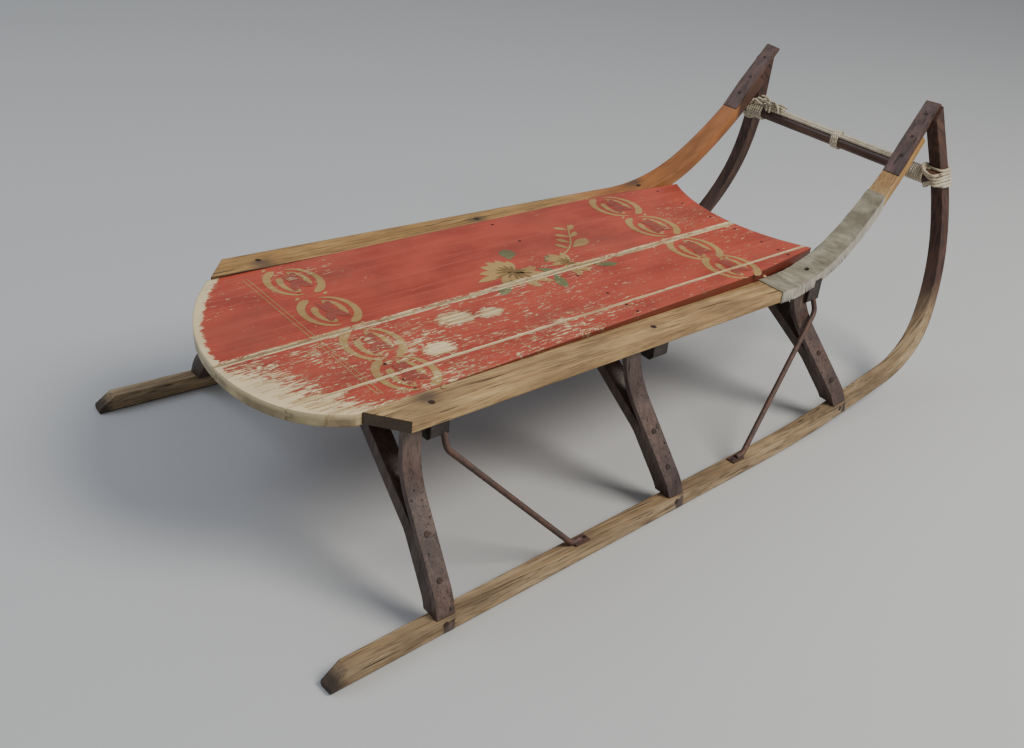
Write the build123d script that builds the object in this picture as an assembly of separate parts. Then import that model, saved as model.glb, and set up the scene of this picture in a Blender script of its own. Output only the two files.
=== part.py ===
from build123d import *
import math
import os

# Bow-runner child's sled, in millimetres. X points forward, Y to the rider's left, Z up.
# The origin is on the floor, under the middle of the sled.

# overall
overall_length = 1222.0
runner_spread = 597.6          # outside to outside of the runners, level with the origin
runner_toe_in = 0.0525         # how far each runner comes in for each millimetre forward
seat_height = 230.6            # top of the right rail above the floor, at the origin
seat_fall = 1.21               # degrees the rails fall towards the front, under the level deck

# runners
runner_width = 20.0
runner_depth = 22.0
heel_bevel = 26.0
rise_start = 127.0             # where the runner leaves the floor
bow_lean = 13.5                # degrees the bow leans in towards its peak
bow_lean_radius = 300.0
bow_lean_start = 30.0
sweep_radius, sweep_turn = 1600.0, 8.0
nose_radius, nose_turn = 172.0, 52.0
upright_radius, upright_turn = 262.0, 30.0
peak_radius, peak_turn = 420.0, 15.0
peak_run = 150.0
shoe_thickness = 2.0
shoe_width = 17.0

# rails and the laminations on top of them
rail_spread = 436.0            # outside to outside of the rails, level with the origin
rail_toe_in = 0.0301
rail_width = 45.0
rail_thickness = {"left": 18.0, "right": 15.4}
rail_rear = -486.0             # inner rear corner
rail_end_slant = 37.0
rail_bend_reach = 321.0        # from the start of the bend forward to the peak
rail_bend_radius, rail_bend_turn = 280.0, 37.2
rail_rise_radius, rail_rise_turn = 650.0, 14.8
rail_plan_radius = 700.0       # eases the plan where the rail starts to bend
rail_tip_run = 18.0
peak_spread = 349.0            # outside to outside of the two peaks
peak_setback = 51.0            # the peak stands this far behind the nose of the bow
rail_tip_width = 25.0
splice_thickness = 6.0
splice_reach = 78.0            # from the splice's lower end forward to the peak
scarf_length = 44.0            # how far the splice's lower end is thinned down
scarf_edge = 1.2               # what is left of it at the very end
peak_round = 3.0

# deck
deck_rise = 9.2                # top of the level deck above the right rail, at the origin
deck_thickness = 16.0
deck_gap = 0.6
deck_front = 352.0
deck_front_inset = 16.4        # from the rail in to the deck's front corner
deck_narrowing = 190.0         # where the deck starts to draw in from the rails
deck_front_hollow = 40.0
deck_rear = -583.0
deck_shoulder = -492.0
deck_skew = 2.0
# points on the rear edge: ahead of the apex, and as a share of the half width
deck_crown = ((31.0, -0.74), (2.0, -0.24), (20.0, 0.4))
centre_joint_y = -15.0
outer_joint_inset = 37.0       # from the rail in to the outer joint, level with the origin
joint_open = 5.0
outer_joint_open = 1.2
tongue_thickness = 5.0
tongue_length = 11.0
groove_clearance = 0.3

# cross members and legs, from the rear to the front
stations = ("rear", "middle", "front")
bench_x = (-407.0, -40.0, 297.0)
bench_width = 26.0
bench_depth = 25.0
bench_inset = 3.0
bench_horn = 14.0
bench_chamfer = 6.0
leg_x = (-455.0, -52.0, 335.0)  # at the floor
leg_rake = (16.0, -33.0, -68.0) # how far forward each leg's top stands of its foot
leg_width = 26.0
strut_thickness = 8.0
strut_inset = 16.0
strut_foot = 32.0
strut_shoulder = 165.0
strut_flare = 8.0
arch_thickness = 18.0
arch_parting = 116.0
arch_crown = 106.0
foot_bend, shoulder_bend, arch_bend = 84.0, 112.0, 70.0

# iron braces
rod_radius = 4.0
rod_seat = 10.0                # how far a brace stands into the bench
rod_neck = 13.0
rod_bends = (16.0, 12.0)
pad_length, pad_width, pad_thickness = 24.0, 13.0, 2.6
braces = {"rear": (0, 8.0, -246.0, 1), "front": (2, 6.0, 96.0, -1)}
brace_inset = 8.0
brace_splay = 10.0

# spreader stick, its cords and the tape
stick_radius = 10.0
stick_height = 335.0
stick_overhang = 3.0
stick_clearance = 0.05
cord_diameter = 5.0
cord_clearance = 0.1
lashing_height = 27.0
lashing_corner = 9.0
stick_wrap_length = 28.0
stick_wrap_thickness = 2.4
stick_wrap_gap = 1.5            # between the lashing and the wrap
binding_y, binding_width, binding_thickness = -8.0, 16.0, 1.8
tape_thickness = 1.2
tape_ends = (209.0, 323.0, 454.0)

# fastenings: head radius, head depth, shank radius, length, how deep the head is sunk
screw = (4.2, 2.2, 2.0, 32.0, 0.3)
nail = (2.4, 1.4, 1.3, 26.0, 0.2)
rivet = (3.6, 1.6, 1.6, 20.0, -0.9)
brad = (2.0, 1.2, 1.1, 11.0, -0.5)
nail_rows = (-0.946, -0.82, -0.6, -0.24, 0.11, 0.52, 0.9)  # shares of the deck's half width
foot_rivet_height = 13.0
leg_rivet_shares = (0.22, 0.55)

sides = {"left": 1, "right": -1}
seat_frame = Pos(0, 0, seat_height) * Rot(0, seat_fall, 0)
rail_base = -rail_thickness["right"]      # the rails rest on the benches at this level
deck_height = seat_height + deck_rise
deck_underside = deck_height - deck_thickness
peak_x = overall_length / 2 - peak_setback
rail_bend_start = peak_x - rail_bend_reach
splice_start = peak_x - splice_reach
wide = 900.0


def runner_outside(x):
    return runner_spread / 2 - runner_toe_in * x


def rail_outside(x):
    return rail_spread / 2 - rail_toe_in * x


def rail_inside(x):
    return rail_outside(x) - rail_width


def strip_line(start, heading, steps, offset):
    # edges of a line that runs along the steps, at an offset towards the inside of its bends
    turn = math.radians(heading)
    point = Vector(start[0] - offset * math.sin(turn), start[1] + offset * math.cos(turn))
    edges = []
    for radius, amount in steps:
        along = Vector(math.cos(turn), math.sin(turn))
        if radius:
            edge = JernArc(point, along, radius - offset, amount)
            turn += math.radians(amount)
        else:
            edge = Line(point, point + along * amount)
        point = edge @ 1
        edges.append(edge)
    return edges


def strip(start, heading, steps, low, high, width=wide):
    # a bent strip, drawn in the XZ plane and as wide as the given width across Y
    lower = strip_line(start, heading, steps, low)
    upper = strip_line(start, heading, steps, high)
    ends = [Line(lower[0] @ 0, upper[0] @ 0), Line(lower[-1] @ 1, upper[-1] @ 1)]
    return extrude(Plane.XZ * make_face(lower + upper + ends), width / 2, both=True)


def prism(points, plane, amount, both=True):
    return extrude(plane * make_face(Polyline(*points, close=True)), amount, both=both)


def mirrored(shape):
    return mirror(shape, Plane.XZ)


def for_side(shape, side):
    return shape if side == "left" else mirrored(shape)


def one_solid(shape):
    return max(shape.solids(), key=lambda solid: solid.volume)


def between(low, high):
    return Pos((low + high) / 2, 0, seat_height) * Box(high - low, wide, wide)


# ---- runners ----

def runner_steps():
    flat = rise_start + overall_length / 2
    lean_run = nose_reach() - rise_start - sweep_radius * math.sin(math.radians(sweep_turn))
    return [(0, flat), (sweep_radius, sweep_turn), (0, lean_run / math.cos(math.radians(sweep_turn))),
            (nose_radius, nose_turn), (upright_radius, upright_turn), (peak_radius, peak_turn),
            (0, peak_run)]


def nose_reach():
    # where the tight bend has to start for the nose to end up at the overall length
    first, second = math.radians(sweep_turn), math.radians(sweep_turn + nose_turn)
    third = second + math.radians(upright_turn)
    reach = nose_radius * (math.sin(second) - math.sin(first))
    reach += upright_radius * (math.sin(third) - math.sin(second))
    return overall_length / 2 - shoe_thickness - reach


def runner_band(width, inset):
    # the front view of a runner: upright near the floor, then leaning in
    def side_line(shift):
        lean = math.radians(bow_lean)
        foot = Line((shift, -20), (shift, bow_lean_start))
        bend = JernArc(foot @ 1, (0, 1), bow_lean_radius, bow_lean)
        top = Line(bend @ 1, (bend @ 1) + Vector(-math.sin(lean), math.cos(lean)) * overall_length / 2)
        return [foot, bend, top]
    outer, inner = side_line(-inset), side_line(-inset - width)
    ends = [Line(outer[0] @ 0, inner[0] @ 0), Line(outer[-1] @ 1, inner[-1] @ 1)]
    return extrude(Plane.YZ * make_face(outer + inner + ends), wide, both=True)


def on_runner(shape):
    return Pos(0, runner_spread / 2, 0) * Rot(0, 0, -math.degrees(math.atan(runner_toe_in))) * shape


def runner_strip(low, high, width, inset, steps):
    start = (-overall_length / 2, shoe_thickness)
    side_view = strip(start, 0, steps, low, high, 2 * wide)
    return on_runner(side_view & runner_band(width, inset))


def heel_cut():
    rear = -overall_length / 2 - 1
    low, high = shoe_thickness, shoe_thickness + runner_depth
    points = [(rear, low - 1), (rear + 1, low + 5), (rear + 1 + heel_bevel, high + 2), (rear, high + 2)]
    return prism(points, Plane.XZ, wide)


def under_sole(height):
    # everything below and ahead of a line at a height above the left runner's sole
    start = (-overall_length / 2, shoe_thickness)
    return on_runner(strip(start, 0, runner_steps(), -200, height, 2 * wide))


def runner(side):
    shape = runner_strip(0, runner_depth, runner_width, 0, runner_steps())
    shape -= heel_cut()
    shape -= splice_above(side)
    return for_side(one_solid(shape), side)


def shoe(side):
    steps = runner_steps()[:3] + [(nose_radius, nose_turn * 0.6)]
    inset = (runner_width - shoe_width) / 2
    sole = runner_strip(-shoe_thickness, 0, shoe_width, inset, steps)
    return for_side(one_solid(sole), side)


# ---- rails ----

def rail_steps(tip):
    return [(0, rail_bend_start - rail_rear), (rail_bend_radius, rail_bend_turn),
            (rail_rise_radius, rail_rise_turn), (0, tip)]


def rail_plan(extra, rear):
    # the plan of the left rail, with its slanted rear end
    bend = rail_bend_start
    tip_y = peak_spread / 2
    far = peak_x + 60
    slope = (rail_outside(bend) - tip_y) / (peak_x - bend)
    inner_slope = (rail_inside(bend) - tip_y + rail_tip_width) / (peak_x - bend)
    outer_far = tip_y - slope * (far - peak_x)
    inner_far = tip_y - rail_tip_width - inner_slope * (far - peak_x)
    outer = [(rear + rail_end_slant, rail_outside(rear + rail_end_slant) + extra),
             (bend, rail_outside(bend) + extra), (far, outer_far + extra)]
    inner = [(far, inner_far - extra), (bend, rail_inside(bend) - extra), (rear, rail_inside(rear) - extra)]
    face = make_face(Polyline(*outer, *inner, close=True))
    corners = [v for v in face.vertices() if abs(v.X - bend) < 1]
    return extrude(fillet(corners, rail_plan_radius), wide, both=True)


def rail_blank(side, low, high, tip=rail_tip_run, extra=0.0):
    # the left rail's side view between two heights above its underside, cut to its plan
    side_view = strip((rail_rear, rail_base), 0, rail_steps(tip), low, high)
    return seat_frame * (side_view & rail_plan(extra, rail_rear))


def splice_above(side):
    top = rail_thickness[side]
    return seat_frame * strip((rail_rear, rail_base), 0, rail_steps(260), top, top + 140)


def rail(side):
    return for_side(one_solid(rail_blank(side, 0, rail_thickness[side])), side)


def above_scarf(low):
    # what is planed off the splice's lower end, on a rail whose top is at a height above its underside
    bend, rise = rail_bend_radius - low, rail_rise_radius - low
    first = math.radians(rail_bend_turn)
    past = splice_start - rail_bend_start - bend * math.sin(first)
    turn = math.asin(math.sin(first) + past / rise)
    height = rail_base + low + bend * (1 - math.cos(first)) + rise * (math.cos(first) - math.cos(turn))
    foot = Vector(splice_start, height)
    along, up = Vector(math.cos(turn), math.sin(turn)), Vector(-math.sin(turn), math.cos(turn))
    start = foot + up * scarf_edge
    end = foot + along * scarf_length + up * (splice_thickness + scarf_length ** 2 / (2 * rise))
    slope = (end - start) * 1.5
    points = [start - slope, start + slope, start + slope + up * 200, start - slope + up * 200]
    return seat_frame * prism([(p.X, p.Y) for p in points], Plane.XZ, wide)


def splice(side):
    low = rail_thickness[side]
    shape = rail_blank(side, low, low + splice_thickness, 120)
    shape &= Pos(splice_start + wide / 2, 0, 0) * Box(wide, wide, 2 * wide)
    shape = one_solid(shape - under_sole(0) - above_scarf(low))
    peak = shape.faces().sort_by(Axis.X)[-1].edges().sort_by(Axis.Z)[-1]
    return for_side(fillet(peak, peak_round), side)


def tape_blank():
    top = rail_thickness["right"] + tape_thickness
    return mirrored(rail_blank("right", -tape_thickness, top, 10, tape_thickness))


def tape(low, high):
    return tape_blank() & between(low, high) - nodes["rail_right"]


# ---- deck ----

outer_joint_y = outer_joint_inset - rail_inside(0)


def deck_half(x):
    # half the deck's width, which follows the rails and then draws in
    share = max(x - deck_narrowing, 0) / (deck_front - deck_narrowing)
    return rail_inside(x) - deck_gap - share * (deck_front_inset - deck_gap)


def deck_blank():
    half_rear = deck_half(deck_shoulder)
    half_front = deck_half(deck_front)
    side_bend = (deck_narrowing, deck_half(deck_narrowing))
    left_front, right_front = (deck_front, half_front), (deck_front, -half_front)
    front = ThreePointArc(left_front, (deck_front - deck_front_hollow, 0), right_front)
    right_rear = (deck_shoulder - deck_skew / 2, -half_rear)
    left_rear = (deck_shoulder + deck_skew / 2, half_rear)
    crown = [(deck_rear + ahead, share * half_rear) for ahead, share in deck_crown]
    rear = Spline(right_rear, *crown, left_rear)
    left_side = Polyline(left_rear, side_bend, left_front)
    right_side = Polyline(right_front, (side_bend[0], -side_bend[1]), right_rear)
    outline = [front, *right_side.edges(), rear, *left_side.edges()]
    return Pos(0, 0, deck_underside) * extrude(make_face(outline), deck_thickness)


def along_deck(low, high, bottom, top):
    return Pos(0, (low + high) / 2, (bottom + top) / 2) * Box(3 * wide, high - low, top - bottom)


def deck_boards():
    blank = deck_blank()
    floor, top = deck_underside - 1, deck_height + 1
    middle = deck_underside + deck_thickness / 2
    half = tongue_thickness / 2

    left = blank & along_deck(centre_joint_y, wide, floor, top)
    tongue = blank & along_deck(centre_joint_y - tongue_length, centre_joint_y, middle - half, middle + half)
    centre = blank & along_deck(outer_joint_y, centre_joint_y - joint_open, floor, top)
    slot = half + groove_clearance
    depth = tongue_length + groove_clearance
    centre -= along_deck(centre_joint_y - depth, centre_joint_y, middle - slot, middle + slot)
    key_low = outer_joint_y - outer_joint_open - tongue_length / 2
    key = blank & along_deck(key_low, outer_joint_y, middle - half, middle + half)
    right = blank & along_deck(-wide, outer_joint_y - outer_joint_open, floor, top)
    right -= along_deck(key_low - groove_clearance, wide, middle - slot, middle + slot)
    return {"left": left + tongue, "middle": centre + key, "right": right}


# ---- cross members and legs ----

def rail_underside(x):
    return seat_height + rail_base - math.tan(math.radians(seat_fall)) * x


def bench(index):
    # level under the deck, with ends that the rails are let into
    x = bench_x[index]
    half = rail_outside(x) - bench_inset
    shoulder = rail_inside(x) + 2
    bottom = rail_underside(x) - bench_depth
    tall = rail_underside(x) + bench_horn
    right = [(-shoulder, deck_underside), (-shoulder, tall), (-half, tall), (-half, bottom + bench_chamfer),
             (-half + bench_chamfer, bottom)]
    points = right + [(-y, z) for y, z in reversed(right)]
    return Pos(x, 0, 0) * prism(points, Plane.YZ, bench_width / 2)


def leg_frame(index):
    rise = seat_height + rail_base
    tilt = math.degrees(math.atan(leg_rake[index] / rise))
    return Pos(leg_x[index], 0, 0) * Rot(0, tilt, 0)


def leg_scale(index):
    return math.hypot(1, leg_rake[index] / (seat_height + rail_base))


def rounded_line(points, radii):
    # straight runs joined by tangent arcs, one radius for each inner point
    edges, here = [], Vector(*points[0])
    for i, radius in enumerate(radii, start=1):
        corner = Vector(*points[i])
        way_in = (corner - Vector(*points[i - 1])).normalized()
        way_out = (Vector(*points[i + 1]) - corner).normalized()
        setback = radius * math.tan(math.radians(way_in.get_angle(way_out) / 2))
        edges.append(Line(here, corner - way_in * setback))
        edges.append(TangentArc(corner - way_in * setback, corner + way_out * setback, tangent=way_in))
        here = edges[-1] @ 1
    edges.append(Line(here, Vector(*points[-1])))
    return edges


def bent_band(points, radii, thickness):
    # a strip bent along the points, its outer face on them and its body on their right
    ways = [(Vector(*b) - Vector(*a)).normalized() for a, b in zip(points, points[1:])]
    rights = [Vector(way.Y, -way.X) for way in ways]
    inner = [Vector(*points[0]) + rights[0] * thickness]
    inner_radii = []
    for i in range(1, len(points) - 1):
        bisector = (rights[i - 1] + rights[i]).normalized()
        inner.append(Vector(*points[i]) + bisector * thickness / bisector.dot(rights[i]))
        right_turn = ways[i - 1].cross(ways[i]).Z < 0
        inner_radii.append(radii[i - 1] + (-thickness if right_turn else thickness))
    inner.append(Vector(*points[-1]) + rights[-1] * thickness)
    outer_line = rounded_line(points, radii)
    inner_line = rounded_line([(p.X, p.Y) for p in inner], inner_radii)
    ends = [Line(outer_line[0] @ 0, inner_line[0] @ 0), Line(outer_line[-1] @ 1, inner_line[-1] @ 1)]
    return make_face(outer_line + inner_line + ends)


def runner_rise(x):
    # how high the runner's sole stands above the floor
    past = max(x - rise_start, 0)
    return shoe_thickness + past * past / (2 * sweep_radius)


def strut_line(index):
    # the outer face of the right leg, in the leg's own plane, from the foot up
    k, rise = leg_scale(index), runner_rise(leg_x[index])
    foot = -runner_outside(leg_x[index])
    head = -rail_outside(leg_x[index] + leg_rake[index]) + strut_inset
    top = (seat_height + 40) * k
    return [(foot, 0), (foot, (strut_foot + rise) * k), (head - strut_flare, strut_shoulder * k), (head, top)]


def leg_body(index, face):
    body = leg_frame(index) * extrude(Plane.YZ * face, leg_width / 2, both=True)
    return body & Pos(0, 0, deck_underside - wide / 2) * Box(4 * wide, 2 * wide, wide)


def strut(index, side):
    # the foot is let into the runner, and the head stops under the rail, which rises over the front leg
    face = bent_band(strut_line(index), [foot_bend, shoulder_bend], strut_thickness)
    body = leg_frame(index) * extrude(Plane.YZ * face, leg_width / 2, both=True)
    body -= mirrored(rail_blank("right", -tape_thickness, 200))
    body -= mirrored(under_sole(0))
    return for_side(mirrored(body), side)


def arch_line(index):
    foot, knee, shoulder, _ = strut_line(index)
    k = leg_scale(index)
    way = (Vector(*shoulder) - Vector(*knee)).normalized()
    inward = Vector(way.Y, -way.X)
    bisector = (inward + Vector(1, 0)).normalized()
    low = Vector(*knee) + bisector * strut_thickness / bisector.X
    part = Vector(*knee) + way * ((arch_parting * k - knee[1]) / way.Y) + inward * strut_thickness
    return [(low.X, 0), (low.X, low.Y), (part.X, part.Y), (-arch_crown, deck_underside * k)]


def arch(index):
    right = arch_line(index)
    left = [(-y, z) for y, z in reversed(right)]
    radii = [foot_bend - strut_thickness, arch_bend, arch_bend]
    face = bent_band(right + left, radii + radii[::-1], arch_thickness)
    body = leg_body(index, face)
    for side in sides:
        body -= for_side(under_sole(runner_depth), side)
    return body


# ---- braces ----

def brace(name, side):
    index, ahead, foot_x, way = braces[name]
    head_x = bench_x[index] + ahead
    head_y = rail_outside(bench_x[index]) - brace_inset
    under = rail_underside(bench_x[index]) - bench_depth
    foot_y = runner_outside(foot_x) - runner_width / 2
    floor = runner_rise(foot_x) + runner_depth
    level = floor + rod_radius * 0.8
    toe = (foot_x, foot_y, level)
    tip = (foot_x + way * pad_length * 0.6, foot_y - way * pad_length * 0.6 * runner_toe_in, level)
    points = [(head_x, head_y, under + rod_seat), (head_x, head_y + brace_splay, under - rod_neck), toe, tip]
    path = Wire(rounded_line(points, rod_bends))
    rod = sweep(Plane(origin=path @ 0, z_dir=path % 0) * Circle(rod_radius), path)
    turn = -math.degrees(math.atan(runner_toe_in))
    pad_place = Pos(tip[0], tip[1], floor + pad_thickness / 2) * Rot(0, 0, turn)
    pad = pad_place * Box(pad_length, pad_width, pad_thickness)
    under_foot = Pos(foot_x, foot_y, floor - 10) * Box(4 * pad_length, 4 * pad_width, 20)
    return for_side(rod - under_foot + pad, side)


# ---- spreader stick and cords ----

def bow_at(height):
    # where the rear face of the left bow and its outer side are, at a height on its upper bend
    start = shoe_thickness
    turn, reach = 0.0, -overall_length / 2
    for radius, amount in runner_steps():
        if radius == peak_radius:
            break
        low = math.radians(turn)
        turn += amount if radius else 0
        high = math.radians(turn)
        reach += radius * (math.sin(high) - math.sin(low)) if radius else amount * math.cos(high)
        start += radius * (math.cos(low) - math.cos(high)) if radius else amount * math.sin(high)
    swing = math.asin((height - start) / (peak_radius - runner_depth))
    x = reach - runner_depth - (peak_radius - runner_depth) * (1 - math.cos(swing))
    lean = math.radians(bow_lean)
    past = height - bow_lean_start - bow_lean_radius * math.sin(lean)
    inward = bow_lean_radius * (1 - math.cos(lean)) + past * math.tan(lean)
    toe = math.atan(runner_toe_in)
    return (x * math.cos(toe) - inward * math.sin(toe),
            runner_spread / 2 - x * math.sin(toe) - inward * math.cos(toe), swing)


bow_x, bow_y, bow_swing = bow_at(stick_height)
stick_reach = bow_y + stick_overhang
cord_z = stick_height + stick_radius + cord_diameter / 2 + cord_clearance
wrap_end = bow_y - runner_width - cord_diameter - stick_wrap_gap


def along_y(radius, low, high, x, z=stick_height):
    return Pos(x, (low + high) / 2, z) * Rot(90, 0, 0) * Cylinder(radius, high - low)


def stick_rest():
    # brings the stick forward until it lies against the bows
    x = bow_x - 2 * stick_radius
    return x + along_y(stick_radius, -stick_reach, stick_reach, x).distance_to(runner("left"))


stick_x = stick_rest()


def lashing(side):
    # one closed block round the bow and the stick, which the turns of cord fill
    long_side = runner_depth + 2 * stick_radius + 2 * cord_diameter
    short_side = runner_width + 2 * cord_diameter
    block = extrude(RectangleRounded(long_side, short_side, lashing_corner), lashing_height / 2, both=True)
    tilt = Rot(bow_lean, 0, 0) * Rot(0, -math.degrees(bow_swing), 0)
    middle_x = bow_x + (runner_depth - 2 * stick_radius) / 2
    block = Pos(middle_x, bow_y - runner_width / 2, stick_height) * tilt * block
    block -= along_y(stick_radius + stick_clearance, -stick_reach, stick_reach, stick_x)
    return for_side(one_solid(block - nodes["runner_left"]), side)


def stick_wrap(side):
    sleeve = along_y(stick_radius + stick_wrap_thickness, wrap_end - stick_wrap_length, wrap_end, stick_x)
    return for_side(sleeve - nodes["spreader_stick"] - nodes["lashing_left"], side)


def stick_cord():
    reach = wrap_end - stick_wrap_length - 5 * cord_clearance
    return along_y(cord_diameter / 2, -reach, reach, stick_x, cord_z)


def stick_binding():
    low, high = binding_y - binding_width / 2, binding_y + binding_width / 2
    ring = along_y(stick_radius + binding_thickness, low, high, stick_x)
    ring += along_y(cord_diameter / 2 + binding_thickness, low, high, stick_x, cord_z)
    return ring - nodes["spreader_stick"] - nodes["stick_cord"]


# ---- fastenings ----

def fastener(kind, place, way):
    # a head and shank driven along way, and the hole that takes them
    head, depth, shank, length, sink = kind
    way = Vector(*way).normalized()
    frame = Plane(origin=Vector(*place) + way * sink, z_dir=way)
    body = frame * (Pos(0, 0, depth / 2) * Cylinder(head, depth))
    body += frame * (Pos(0, 0, length / 2) * Cylinder(shank, length))
    hole = body + frame * (Pos(0, 0, -depth / 2) * Cylinder(head, depth))
    return body, hole


def seat_point(x, y, above):
    return (seat_frame * Pos(x, y, above)).position


def seat_down(turn=0.0):
    # straight down through the seat, or through a rail that has turned up
    turn = math.radians(turn - seat_fall)
    return (math.sin(turn), 0, -math.cos(turn))


def rail_middle(x):
    share = max(x - rail_bend_start, 0) / (peak_x - rail_bend_start)
    at_bend = (rail_outside(min(x, rail_bend_start)) + rail_inside(min(x, rail_bend_start))) / 2
    return at_bend + share * (peak_spread / 2 - rail_tip_width / 2 - at_bend)


def rail_screws(side):
    way = sides[side]
    found = []
    for x in bench_x:
        thickness = rail_thickness[side]
        bend = rail_bend_radius - thickness
        turn = math.asin(max(x - rail_bend_start, 0) / bend)
        rise = rail_base + thickness + bend * (1 - math.cos(turn))
        place = seat_point(x, way * rail_middle(x), rise)
        found.append(fastener(screw, place, seat_down(math.degrees(turn))))
    return found


def deck_nails():
    return [fastener(nail, (x, share * deck_half(x), deck_height), (0, 0, -1))
            for x in bench_x for share in nail_rows]


def splice_nails(side):
    height = rail_thickness[side] + splice_thickness
    line = strip_line((rail_rear, rail_base), 0, rail_steps(120), height)
    found = []
    for edge, share in ((line[-2], 0.86), (line[-1], 0.08), (line[-1], 0.42)):
        at, along = edge @ share, edge % share
        place = seat_point(at.X, sides[side] * rail_middle(at.X), at.Y)
        turn = math.degrees(math.atan2(along.Y, along.X))
        found.append(fastener(nail, place, seat_down(turn)))
    return found


def leg_rivets(index, side):
    _, knee, shoulder, _ = strut_line(index)
    foot_y = knee[0]
    way = (Vector(*shoulder) - Vector(*knee)).normalized()
    spots = [((foot_y, runner_rise(leg_x[index]) + foot_rivet_height), (1, 0))]
    for share in leg_rivet_shares:
        spot = Vector(*knee) + (Vector(*shoulder) - Vector(*knee)) * share
        spots.append(((spot.X, spot.Y), (way.Y, -way.X)))
    found = []
    for (y, z), (in_y, in_z) in spots:
        place = (leg_frame(index) * Pos(0, y, z)).position
        ahead = (leg_frame(index) * Pos(0, y + in_y, z + in_z)).position
        if side == "left":
            place, ahead = Vector(place.X, -place.Y, place.Z), Vector(ahead.X, -ahead.Y, ahead.Z)
        found.append(fastener(rivet, place, ahead - place))
    return found


def pad_nails(side):
    found = []
    for index, ahead, foot_x, way in braces.values():
        x = foot_x + way * pad_length * 0.95
        y = runner_outside(x) - runner_width / 2
        place = (x, sides[side] * y, runner_rise(foot_x) + runner_depth + pad_thickness)
        found.append(fastener(brad, place, (0, 0, -1)))
    return found


def fastenings():
    groups = {"deck_nails": deck_nails()}
    for side in sides:
        groups[f"rail_screws_{side}"] = rail_screws(side)
        groups[f"splice_nails_{side}"] = splice_nails(side)
        groups[f"brace_nails_{side}"] = pad_nails(side)
        groups[f"leg_rivets_{side}"] = [one for index in range(3) for one in leg_rivets(index, side)]
    return groups


def touches(a, b):
    low, high = a.bounding_box(), b.bounding_box()
    return all(getattr(low.min, k) < getattr(high.max, k) and getattr(high.min, k) < getattr(low.max, k)
               for k in "XYZ")


nodes = {}
for side in sides:
    nodes[f"runner_{side}"] = runner(side)
    nodes[f"runner_shoe_{side}"] = shoe(side)
    nodes[f"rail_{side}"] = rail(side)
    nodes[f"bow_splice_{side}"] = splice(side)
for name, board in deck_boards().items():
    nodes[f"deck_board_{name}"] = board
for index, station in enumerate(stations):
    nodes[f"bench_{station}"] = bench(index)
    nodes[f"arch_{station}"] = arch(index)
    for side in sides:
        nodes[f"strut_{station}_{side}"] = strut(index, side)
for name in braces:
    for side in sides:
        nodes[f"brace_{name}_{side}"] = brace(name, side)
nodes["spreader_stick"] = along_y(stick_radius, -stick_reach, stick_reach, stick_x)
nodes["stick_cord"] = stick_cord()
nodes["stick_binding"] = stick_binding()
for side in sides:
    nodes[f"lashing_{side}"] = lashing(side)
for side in sides:
    nodes[f"stick_wrap_{side}"] = stick_wrap(side)
nodes["tape_wrap_lower"] = tape(tape_ends[0], tape_ends[1])
nodes["tape_wrap_upper"] = tape(tape_ends[1], tape_ends[2])

# laps, notches and seats: each piece gives way to the one let into it
for side in sides:
    for name, (at, *_) in braces.items():
        nodes[f"strut_{stations[at]}_{side}"] -= nodes[f"brace_{name}_{side}"]
    for station in stations:
        nodes[f"runner_{side}"] -= nodes[f"strut_{station}_{side}"]
        nodes[f"arch_{station}"] -= nodes[f"strut_{station}_{side}"]
    nodes[f"rail_{side}"] -= nodes[f"runner_{side}"]
for index, station in enumerate(stations):
    nodes[f"bench_{station}"] -= nodes[f"arch_{station}"]
    nodes[f"bench_{station}"] -= tape_blank()
    for side in sides:
        nodes[f"bench_{station}"] -= nodes[f"strut_{station}_{side}"]
        nodes[f"bench_{station}"] -= nodes[f"rail_{side}"]
    for name, (at, *_) in braces.items():
        if at == index:
            for side in sides:
                nodes[f"bench_{station}"] -= nodes[f"brace_{name}_{side}"]

groups = fastenings()
for fastened in groups.values():
    for _, hole in fastened:
        for name in nodes:
            if touches(nodes[name], hole):
                nodes[name] -= hole
for name, fastened in groups.items():
    nodes[name] = Compound(children=[body.solids()[0] for body, _ in fastened])

# the origin goes under the middle of the finished sled
reach = [shape.bounding_box() for shape in nodes.values()]
middle = (min(box.min.X for box in reach) + max(box.max.X for box in reach)) / 2

os.makedirs("parts", exist_ok=True)
for name, shape in nodes.items():
    solids = (Pos(-middle, 0, 0) * shape).solids()
    export_step(solids[0] if len(solids) == 1 else Compound(children=list(solids)), f"parts/{name}.step")
print(len(nodes), "nodes, moved by", round(-middle, 3))
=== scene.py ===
import math
import random
import bpy
from mathutils import Matrix, Vector


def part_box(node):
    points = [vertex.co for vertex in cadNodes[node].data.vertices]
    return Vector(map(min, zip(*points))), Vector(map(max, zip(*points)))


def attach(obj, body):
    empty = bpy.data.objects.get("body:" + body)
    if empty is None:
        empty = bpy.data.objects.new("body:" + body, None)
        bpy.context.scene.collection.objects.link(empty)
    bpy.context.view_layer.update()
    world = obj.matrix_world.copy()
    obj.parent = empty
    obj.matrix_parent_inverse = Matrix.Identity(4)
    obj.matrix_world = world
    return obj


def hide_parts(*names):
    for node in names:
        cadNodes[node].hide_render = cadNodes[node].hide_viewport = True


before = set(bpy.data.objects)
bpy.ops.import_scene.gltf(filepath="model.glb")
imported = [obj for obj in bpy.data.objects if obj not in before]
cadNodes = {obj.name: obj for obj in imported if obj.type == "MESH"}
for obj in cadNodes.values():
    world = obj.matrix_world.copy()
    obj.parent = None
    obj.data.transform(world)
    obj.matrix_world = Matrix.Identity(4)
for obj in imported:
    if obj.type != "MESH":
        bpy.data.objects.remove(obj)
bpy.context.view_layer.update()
random.seed(7)
print("frame loaded,", len(cadNodes), "nodes")


# small helpers

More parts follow.
